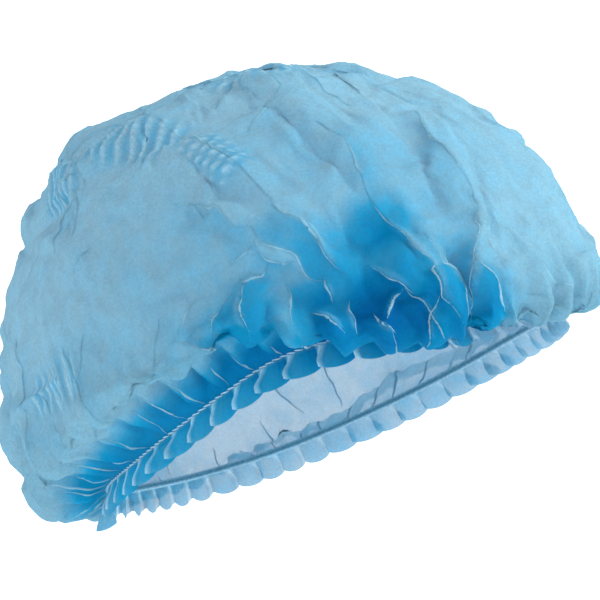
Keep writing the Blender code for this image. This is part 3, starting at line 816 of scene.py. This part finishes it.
# The crease crests: along its sharpest folds the cloth stands up in a thin edge, about a
# millimetre wide, finer than the sheet's own mesh, with a painted highlight along it. Each is a low
# ridge on the sheet. One runs up from each gather, and one along each crease of the table.
CREST_STEP = 0.0015
CREST_HALF_WIDTH = 0.00055
CREST_HEIGHT = 0.00055
CREST_SLOPE = 1.6  # how much wider a ridge is on its one side
CREST_SUNK = 0.00025  # its feet lie this deep in the sheet
CREST_FOOT = 0.0012  # a gather's crest starts this far from the elastic
FAR_CREST_STRENGTH = 0.30
WOBBLE_SIZE = 0.006  # a ridge sways from side to side in about this length
WOBBLE_DEGREES = 0.45  # by up to this angle round the cap


def on_sheet(values, angle, level):
    """Values of the finished sheet's grid at places between its points."""
    column = np.asarray(angle) / (2 * np.pi) % 1 * len(values)
    row = (values.shape[1] - 1) * (np.asarray(level) / TOP_LEVEL) ** (1 / ROW_CROWDING)
    c, r = column.astype(int) % len(values), np.clip(row.astype(int), 0, values.shape[1] - 2)
    on, u, v = (c + 1) % len(values), (column % 1)[:, None], (row - r)[:, None]
    lower = (1 - u) * values[c, r] + u * values[on, r]
    return (1 - v) * lower + v * ((1 - u) * values[c, r + 1] + u * values[on, r + 1])


def uneven(gather, pace):
    """A share of 0 to 1 that changes from gather to gather."""
    return 0.5 + 0.5 * math.sin(pace * gather)


# The angles of the gathers' crests, each time closer to where their wave has its height.
gather_crests = 2 * np.pi * np.arange(GATHERS) / GATHERS
for _ in range(4):
    gather_crests = (2 * np.pi * np.arange(GATHERS) - gather_wander(gather_crests)) / GATHERS
crest_runs = [(places, paleness) for places, paleness, _ in CREASES]
for i, angle in enumerate(np.degrees(gather_crests)):
    reach = 0.011 + 0.013 * uneven(i, 7.3) + 0.012 * uneven(i, 2.9) ** 2
    strength = 0.55 + 0.4 * math.sin(3.7 * i) ** 2
    if 195 < angle < 345:  # on the far side
        reach, strength = 0.014 + reach * 0.9, FAR_CREST_STRENGTH
    lean = 1.6 * math.sin(4.1 * i)
    column = round(angle / 360 * len(distance)) % len(distance)
    stops = (CREST_FOOT, 0.3 * reach, 0.65 * reach, reach)
    levels = np.interp(stops, distance[column], fine_level[column])
    places = [(angle + lean * k / 3, level) for k, level in enumerate(levels)]
    crest_runs.append((places, strength))
verts, faces, crest_highlight = [], [], []
for run_number, (places, paleness) in enumerate(crest_runs):
    angles, levels = crease_places(places, CREST_STEP)
    wobble = np.array([
        noise.noise((run_number * 7.7, k * CREST_STEP / WOBBLE_SIZE, 0.0))
        for k in range(len(angles))
    ])
    angles = angles + np.radians(WOBBLE_DEGREES * wobble)
    middles = on_sheet(sheet, angles, levels)
    outs = on_sheet(sheet_out, angles, levels)
    sides = np.cross(outs, np.gradient(middles, axis=0))
    sides /= np.linalg.norm(sides, axis=1, keepdims=True)
    s = np.linspace(0, 1, len(angles))
    taper = np.sqrt(np.sin(np.pi * np.clip(s, 0.01, 0.99))) * (0.75 + 0.5 * wobble)
    # Painted highlight across the crest, strongest on its top.
    highlight_across = (0.35 + 0.30 * paleness, 0.60 + 0.50 * paleness, 0.40 + 0.30 * paleness)
    for middle, out, side, k in zip(middles, outs, sides, taper):
        foot = CREST_SUNK * out
        verts.append(middle - side * CREST_HALF_WIDTH * k * CREST_SLOPE - foot)
        verts.append(middle + out * CREST_HEIGHT * k)
        verts.append(middle + side * CREST_HALF_WIDTH * k - foot)
        crest_highlight.extend(share * k for share in highlight_across)
    first = len(verts) - 3 * len(middles)
    for k in range(len(middles) - 1):
        a = first + 3 * k
        faces.append((a, a + 1, a + 4, a + 3))
        faces.append((a + 1, a + 2, a + 5, a + 4))
crease_crests = smooth_piece("crease_crests", np.array(verts) @ to_world.T, faces)
crease_crests.data.uv_layers.new(name="cloth")
set_shares(crease_crests, crease=np.array(crest_highlight), bunch=np.full(len(verts), 0.15))
crease_crests.data.materials.append(crown_spunbond)
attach(crease_crests, "root")


# The frill: the same cloth's free edge below the elastic, about 10 mm deep. From each gather it
# opens out into one rounded pleat, whose back edge stands out and laps over the next pleat.
FRILL_DEPTH = 0.0105
FRILL_FLARE = 0.0040
FRILL_SCALLOP = 0.0024  # how much higher the edge is between two pleats
PLEAT_PROUD = 0.0026  # how far a pleat's back edge stands out from the frill's middle
PLEAT_LAP = 0.16  # of a pleat's length lies over the next one
PLEAT_FACE = 0.8  # of a pleat's points are on its face, the rest on its turned back edge
FRILL_STEPS = 24  # points along each pleat
FRILL_ROWS = 12
PUCKER_HEIGHT = 0.00020  # of the small puckers that the seam draws between the gathers
PUCKERS = 6  # to each gather
EDGE_SHARPNESS = 11.3  # how narrow the painted highlight along a pleat's edge is
SEAM_GAP = 0.0004
TAB_ANGLE = math.radians(158)  # where the end tab hangs, beside the nape
TAB_START = 0.0020  # the tab starts this far below the seam, and the frill is cut as short
TAB_ROOM = 0.0034  # from the tab's middle to where the frill grows longer again
PLEATS_BACK = 0.0095  # about this far from the tab's middle the pleats stand out again

pleat, step_in = np.divmod(np.arange(GATHERS * FRILL_STEPS), FRILL_STEPS)
pleat_start = gather_crests[pleat]
pleat_length = np.roll(gather_crests, -1)[pleat] - pleat_start
pleat_length = np.where(pleat_length < 0, pleat_length + 2 * np.pi, pleat_length)
along_pleat = step_in / FRILL_STEPS
face = np.clip(along_pleat / PLEAT_FACE, 0, 1)
turned = np.clip((along_pleat - PLEAT_FACE) / (1 - PLEAT_FACE), 0, 1)
unlapped = pleat_start + pleat_length * along_pleat
lapped = pleat_start + pleat_length * (face * (1 + PLEAT_LAP) - turned * PLEAT_LAP)
from_tab = np.abs((unlapped - TAB_ANGLE + np.pi) % (2 * np.pi) - np.pi) * ELASTIC_HALF_WIDTH
liveliness = ease(from_tab / PLEATS_BACK - 0.5) * (0.8 + 0.3 * np.sin(5.1 * pleat))
down = np.linspace(0, 1, FRILL_ROWS)
opening_out = ease(down * 1.3)[None, :]
frill_angle = unlapped[:, None] + ((lapped - unlapped) * liveliness)[:, None] * opening_out
standing = (face**1.5 * (1 - turned) * 2 - 1) * liveliness * PLEAT_PROUD
rounding = (np.sin(np.pi * np.clip(face, 0.02, 0.98)) ** 0.55) * (1 - turned)
full = FRILL_DEPTH - FRILL_SCALLOP * (1 - rounding)
short = TAB_START - SEAM_GAP
depth = short + ease(from_tab / TAB_ROOM - 1) * (full - short)
pucker = PUCKER_HEIGHT * np.sin(GATHERS * PUCKERS * unlapped)[:, None] * (1 - 0.6 * down)
out = down * (FRILL_FLARE * depth / FRILL_DEPTH)[:, None] + opening_out * standing[:, None] + pucker
frill_points = around(
    ELASTIC_HALF_LENGTH + out,
    ELASTIC_HALF_WIDTH + out,
    frill_angle,
    seam_height(unlapped)[:, None] - SEAM_GAP - down * depth[:, None],
)
frill_cloth = cloth_piece("frill_cloth", np.ascontiguousarray(frill_points[:, ::-1] @ to_world.T))
# Painted highlight along each pleat's edge and on its turned back edge, weaker on the far side, and a
# paler strip just under the seam.
painted_edge_highlight = np.exp(-(((face - 1) * EDGE_SHARPNESS) ** 2) / 2) * (1 - turned)
painted_edge_highlight += 0.8 * (turned > 0) * (turned < 0.5)
far_side = np.clip(-np.sin(unlapped), 0, 1)
painted_edge_highlight = painted_edge_highlight * (1 - 0.6 * far_side)
frill_crease = painted_edge_highlight[:, None] * (0.35 + 0.65 * down) + 0.25 * (1 - down) ** 4
# Painted shade as on the crown's band beside the elastic, deeper on the far side, near the seam and at
# each pleat's start, under the lap of the one before.
band_shade_here = round_share(BAND_SHADE_ROUND, unlapped) + 0.10 * far_side
frill_bunch = (band_shade_here * (1.05 - 0.45 * face))[:, None] * (1 - 0.25 * down)
set_shares(frill_cloth, crease=frill_crease[:, ::-1], bunch=frill_bunch[:, ::-1])
frill_spunbond = spunbond("spunbond_frill", "#7babc1", "#0c94bc", "#02619c", 0.14, 0.36)
frill_cloth.data.materials.append(frill_spunbond)
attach(frill_cloth, "root")
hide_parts("frill")


# The elastic: a thin rubber thread in a narrow tape of yarn, sewn along the seam with the cloth
# gathered onto it, so that it is drawn into small ripples itself. Only the thread looks dark.
ELASTIC_WIDTH = 0.0030
ELASTIC_THICKNESS = 0.0010
ELASTIC_STEPS = 624
CORNER_SOFTNESS = 0.25  # of the half width and of the thickness is rounded off
THREAD_SHARE = 0.24  # of the tape's width is the thread's
THREAD_PROUD = 0.0002
RIPPLE_HEIGHT = 0.00026  # of four ripples to each gather
SMALL_RIPPLE_HEIGHT = 0.00014  # of six among them

band_angle = 2 * np.pi * np.arange(ELASTIC_STEPS) / ELASTIC_STEPS
inner = SEAM_INSET + ELASTIC_THICKNESS
half = ELASTIC_WIDTH / 2
flat_half = half * (1 - CORNER_SOFTNESS)
rounding_off = ELASTIC_THICKNESS * CORNER_SOFTNESS
corners = (
    # in from the seam, and up
    (SEAM_INSET, -flat_half),
    (SEAM_INSET, -half / 3),
    (SEAM_INSET, half / 3),
    (SEAM_INSET, flat_half),
    (SEAM_INSET + rounding_off, half),
    (inner - rounding_off, half),
    (inner, flat_half),
    (inner + THREAD_PROUD, half * THREAD_SHARE),
    (inner + THREAD_PROUD, -half * THREAD_SHARE),
    (inner, -flat_half),
    (inner - rounding_off, -half),
    (SEAM_INSET + rounding_off, -half),
)
ripple = RIPPLE_HEIGHT * np.sin(GATHERS * 4 * band_angle)
ripple += SMALL_RIPPLE_HEIGHT * np.sin(GATHERS * 6 * band_angle + 1)
rings = np.stack([
    around(
        ELASTIC_HALF_LENGTH - inset - ripple,
        ELASTIC_HALF_WIDTH - inset - ripple,
        band_angle,
        seam_height(band_angle) + high,
    )
    for inset, high in corners
], 1) @ to_world.T
faces = []
for step in range(ELASTIC_STEPS):
    a = step * len(corners)
    b = (step + 1) % ELASTIC_STEPS * len(corners)
    for side in range(len(corners)):
        on = (side + 1) % len(corners)
        faces.append((a + side, a + on, b + on, b + side))
elastic_band = smooth_piece("elastic_band", rings, faces)
is_thread = [1.0 if inset > inner else 0.0 for inset, _ in corners]
set_shares(elastic_band, thread=np.tile(is_thread, ELASTIC_STEPS))

YARN_PITCH = 0.0009  # between the covering yarns; real ones are about half as far apart


def yarn(name, colour, thread_colour):
    """Spun yarn, over rubber in the elastic. The eye gets a matt line with a fine cross grain,
    dark where the rubber thread shows between the yarns."""
    material = bpy.data.materials.new(name)
    material.use_nodes = True
    tree = material.node_tree
    shader = tree.nodes["Principled BSDF"]
    place = add(tree, "ShaderNodeTexCoord")
    thread_share = add(tree, "ShaderNodeAttribute", attribute_name="thread")
    yarns = add(tree, "ShaderNodeTexNoise", {
        "Vector": place.outputs["Object"],
        "Scale": 1 / YARN_PITCH,
        "Detail": 2.0,
    })
    dye = add(tree, "ShaderNodeMix", {
        0: thread_share.outputs["Fac"],
        6: linear(colour),
        7: linear(thread_colour),
    }, data_type="RGBA")
    grain = add(tree, "ShaderNodeMapRange", {
        "Value": yarns.outputs["Fac"],
        "From Min": 0.3,
        "From Max": 0.7,
        "To Min": 0.7,
        "To Max": 1.15,
    })
    shade = add(tree, "ShaderNodeMix", {
        0: 1.0,
        6: dye.outputs[2],
        7: grain.outputs[0],
    }, data_type="RGBA", blend_type="MULTIPLY")
    bump = add(tree, "ShaderNodeBump", {
        "Strength": 0.5,
        "Distance": 0.0003,
        "Height": yarns.outputs["Fac"],
    })
    shader.inputs["Roughness"].default_value = 0.6
    shader.inputs["IOR"].default_value = 1.52
    tree.links.new(shade.outputs[2], shader.inputs["Base Color"])
    tree.links.new(bump.outputs["Normal"], shader.inputs["Normal"])
    return material


elastic_band.data.materials.append(yarn("yarn_covered_elastic", "#7aaac2", "#357590"))
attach(elastic_band, "root")
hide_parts("elastic")


# The seam's stitches: a pale thread in short slanted stitches over the outer side of the seam,
# which holds the elastic to the cloth.
STITCHES = GATHERS * 4
STITCH_RISE = 0.0008  # from a stitch's one end to its other, so that it slants
STITCH_LAP = 0.08  # of its length, at each end, lies beside the next stitch
STITCH_RINGS = 5
THREAD_RADIUS = 0.00034
THREAD_SIDES = 6


def ring_faces(rings, sides, first):
    """Faces between rings of points, each with the next. The points' numbers start at first."""
    quads = []
    for ring in range(rings - 1):
        a = first + ring * sides
        b = a + sides
        for side in range(sides):
            on = (side + 1) % sides
            quads.append((a + side, b + side, b + on, a + on))
    return quads


verts, faces = [], []
for stitch in range(STITCHES):
    start = 2 * math.pi * (stitch - STITCH_LAP) / STITCHES
    end = 2 * math.pi * (stitch + 1 + STITCH_LAP) / STITCHES
    for k in range(STITCH_RINGS):
        s = k / (STITCH_RINGS - 1)
        angle = start + s * (end - start)
        swell = math.sin(math.pi * s)
        proud = THREAD_RADIUS * (0.8 + 1.2 * swell)
        radius = THREAD_RADIUS * (0.55 + 0.45 * swell)
        high = seam_height(angle) + STITCH_RISE * (s - 0.5)
        for side in range(THREAD_SIDES):
            turn = 2 * math.pi * side / THREAD_SIDES
            reach = proud + radius * math.cos(turn)
            verts.append(around(
                ELASTIC_HALF_LENGTH + reach,
                ELASTIC_HALF_WIDTH + reach,
                angle,
                high + radius * math.sin(turn),
            ) @ to_world.T)
    first = stitch * STITCH_RINGS * THREAD_SIDES
    last = first + (STITCH_RINGS - 1) * THREAD_SIDES
    faces += ring_faces(STITCH_RINGS, THREAD_SIDES, first)
    faces.append(tuple(first + side for side in range(THREAD_SIDES)))
    faces.append(tuple(last + side for side in reversed(range(THREAD_SIDES))))
seam_stitches = smooth_piece("seam_stitches", verts, faces)
seam_stitches.data.materials.append(yarn("spun_polyester_thread", "#b4dcec", "#b4dcec"))
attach(seam_stitches, "root")


# The end tab: where the folded strip was cut, its layers are welded into one flared tab. It
# hangs straight down beside the nape, square to the opening's edge, where the frill is cut short.
TAB_LENGTH = 0.0120
TAB_TOP_WIDTH = 0.0040
TAB_FOOT_WIDTH = 0.0095
TAB_THICKNESS = 0.0016
TAB_OUT = 0.0030  # from the seam's line out to the tab's middle
TAB_FOOT_ROUND = 0.0009  # how far the foot's middle hangs below its corners
TAB_COLUMNS = 25
TAB_ROWS = 22
TAB_RIBS = 3

edge_way = np.array((
    -ELASTIC_HALF_WIDTH * math.cos(TAB_ANGLE),
    ELASTIC_HALF_LENGTH * math.sin(TAB_ANGLE),
    0,
))
edge_way /= np.linalg.norm(edge_way)
out_way = np.array((-edge_way[1], edge_way[0], 0.0))
hang = np.array((0, math.sin(OPENING_TILT), -math.cos(OPENING_TILT))) * TAB_LENGTH
tab_high = seam_height(TAB_ANGLE) - SEAM_GAP - TAB_START
tab_top = around(ELASTIC_HALF_LENGTH, ELASTIC_HALF_WIDTH, TAB_ANGLE, tab_high) + out_way * TAB_OUT
tab_front, tab_back = [], []
for row in range(TAB_ROWS):
    down_share = row / (TAB_ROWS - 1)
    widening = float(ease(down_share)) ** 1.3
    half_width = (TAB_TOP_WIDTH + widening * (TAB_FOOT_WIDTH - TAB_TOP_WIDTH)) / 2
    for column in range(TAB_COLUMNS):
        across = 2 * column / (TAB_COLUMNS - 1) - 1
        rib = 0.5 + 0.5 * math.cos(math.pi * (TAB_RIBS * across + 1))
        ribbed = 0.55 + 0.45 * rib * (1 - 0.7 * down_share)
        thinned = 0.4 + 0.6 * (1 - abs(across) ** 6)
        thick = TAB_THICKNESS / 2 * ribbed * thinned
        foot = TAB_FOOT_ROUND * down_share**2 * (0.5 - across**2)
        centre = tab_top + hang * (down_share + foot / TAB_LENGTH) + out_way * across * half_width
        tab_front.append((centre + edge_way * thick) @ to_world.T)
        tab_back.append((centre - edge_way * thick) @ to_world.T)
count = TAB_ROWS * TAB_COLUMNS
faces = []
for row in range(TAB_ROWS - 1):
    for column in range(TAB_COLUMNS - 1):
        a = row * TAB_COLUMNS + column
        faces.append((a, a + 1, a + TAB_COLUMNS + 1, a + TAB_COLUMNS))
        faces.append(tuple(count + i for i in (a + TAB_COLUMNS, a + TAB_COLUMNS + 1, a + 1, a)))
rim = list(range(TAB_COLUMNS))
rim += [row * TAB_COLUMNS + TAB_COLUMNS - 1 for row in range(1, TAB_ROWS)]
rim += [(TAB_ROWS - 1) * TAB_COLUMNS + column for column in reversed(range(TAB_COLUMNS - 1))]
rim += [row * TAB_COLUMNS for row in reversed(range(1, TAB_ROWS - 1))]
for i, corner in enumerate(rim):
    following = rim[(i + 1) % len(rim)]
    faces.append((corner, corner + count, following + count, following))
welded_tab = smooth_piece("welded_tab", tab_front + tab_back, faces)


def welded_spunbond(name, colour):
    """Spunbond pressed hot until its layers fuse. The eye gets a denser, slightly glossy blue."""
    material = bpy.data.materials.new(name)
    material.use_nodes = True
    tree = material.node_tree
    shader = tree.nodes["Principled BSDF"]
    place = add(tree, "ShaderNodeTexCoord")
    press = add(tree, "ShaderNodeTexNoise", {
        "Vector": place.outputs["Object"],
        "Scale": 1 / FIBRE_SIZE,
        "Detail": 3.0,
    })
    dye = add(tree, "ShaderNodeMix", {
        0: press.outputs["Fac"],
        6: linear(colour),
        7: linear("#62a5c2"),
    }, data_type="RGBA")
    bump = add(tree, "ShaderNodeBump", {
        "Strength": 0.4,
        "Distance": 0.0003,
        "Height": press.outputs["Fac"],
    })
    shader.inputs["Roughness"].default_value = 0.42
    shader.inputs["IOR"].default_value = 1.49
    tree.links.new(dye.outputs[2], shader.inputs["Base Color"])
    tree.links.new(bump.outputs["Normal"], shader.inputs["Normal"])
    return material


welded_tab.data.materials.append(welded_spunbond("welded_spunbond", "#3d89ab"))
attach(welded_tab, "root")
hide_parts("end_tab")


# The studio: a pale bowl of floor and backdrop, lit by a large soft light from the right and
# above, a weak one low on the right, and one from behind, which shines through the thin cloth.
FLOOR_HEIGHT = -0.45
BOWL_RADIUS = 3.2
BOWL_CURVE = 1.0
BOWL_CURVE_STEPS = 12
BOWL_WALL = 3.0
BOWL_SIDES = 96

profile = []
for k in range(BOWL_CURVE_STEPS + 1):
    turn = math.pi / 2 * k / BOWL_CURVE_STEPS
    profile.append((
        BOWL_RADIUS - BOWL_CURVE + BOWL_CURVE * math.sin(turn),
        BOWL_CURVE - BOWL_CURVE * math.cos(turn),
    ))
profile.append((BOWL_RADIUS, BOWL_WALL))
verts = [(0, 0, FLOOR_HEIGHT)]
for reach, high in profile:
    for k in range(BOWL_SIDES):
        turn = 2 * math.pi * k / BOWL_SIDES
        verts.append((reach * math.cos(turn), reach * math.sin(turn), FLOOR_HEIGHT + high))
faces = [(0, 1 + k, 1 + (k + 1) % BOWL_SIDES) for k in range(BOWL_SIDES)]
faces += ring_faces(len(profile), BOWL_SIDES, first=1)
bowl = smooth_piece("studio_bowl", verts, faces)
paint = bpy.data.materials.new("matt_white_paint")
paint.use_nodes = True
paint_shader = paint.node_tree.nodes["Principled BSDF"]
paint_shader.inputs["Base Color"].default_value = linear("#f2f5f7")
paint_shader.inputs["Roughness"].default_value = 0.9
paint_shader.inputs["Emission Color"].default_value = linear("#f7fbff")
paint_shader.inputs["Emission Strength"].default_value = 0.45
bowl.data.materials.append(paint)

world = bpy.data.worlds.new("studio")
world.use_nodes = True
world.node_tree.nodes["Background"].inputs["Color"].default_value = linear("#f4f8fc")
world.node_tree.nodes["Background"].inputs["Strength"].default_value = 0.25
bpy.context.scene.world = world

LIGHTS = (
    # name, right, towards the camera, up, size, watts
    ("key", 0.95, 0.24, 1.10, 0.6, 20.0),
    ("fill", 1.30, 0.80, -0.10, 1.0, 3.0),
    ("behind", 0.30, -1.20, 0.60, 1.0, 10.0),
)
for name, sideways, near, high, size, watts in LIGHTS:
    lamp = bpy.data.objects.new(name, bpy.data.lights.new(name, "AREA"))
    lamp.data.size = size
    lamp.data.energy = watts
    lamp.location = right * sideways + back * near + Vector((0, 0, high))
    lamp.rotation_mode = "QUATERNION"
    lamp.rotation_quaternion = (aim - lamp.location).to_track_quat("-Z", "Y")
    bpy.context.collection.objects.link(lamp)
bpy.context.scene.view_settings.view_transform = "Standard"
